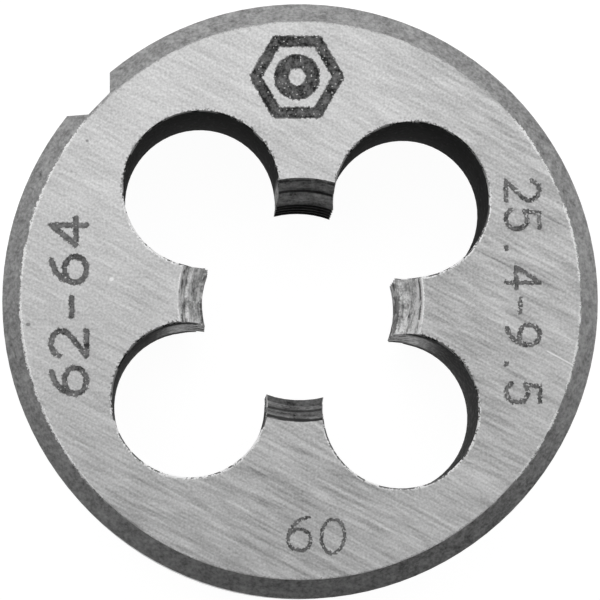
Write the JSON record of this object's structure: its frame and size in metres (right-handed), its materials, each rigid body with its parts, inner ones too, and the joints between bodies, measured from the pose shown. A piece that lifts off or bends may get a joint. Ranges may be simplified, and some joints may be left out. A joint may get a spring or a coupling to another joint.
{
  "type": "round threading die",
  "caption": "Solid round die that cuts an M10 x 1.5 outside thread: a steel disc with a toothed centre bore and chip holes round it.",
  "frame": {"origin": "centre of the lower face, on the thread's axis", "axes": "+Z along the thread's axis and out of the marked face, with the rim notch about midway between -X and +Y, at 135.7 degrees"},
  "size_m": [0.0254, 0.0254, 0.0095],
  "materials": {
    "tool_steel": "hardened high-speed steel, ground faces, turned rim chamfers"
  },
  "bodies": {
    "root": {"threading_die": "tool_steel"}
  },
  "joints": []
}
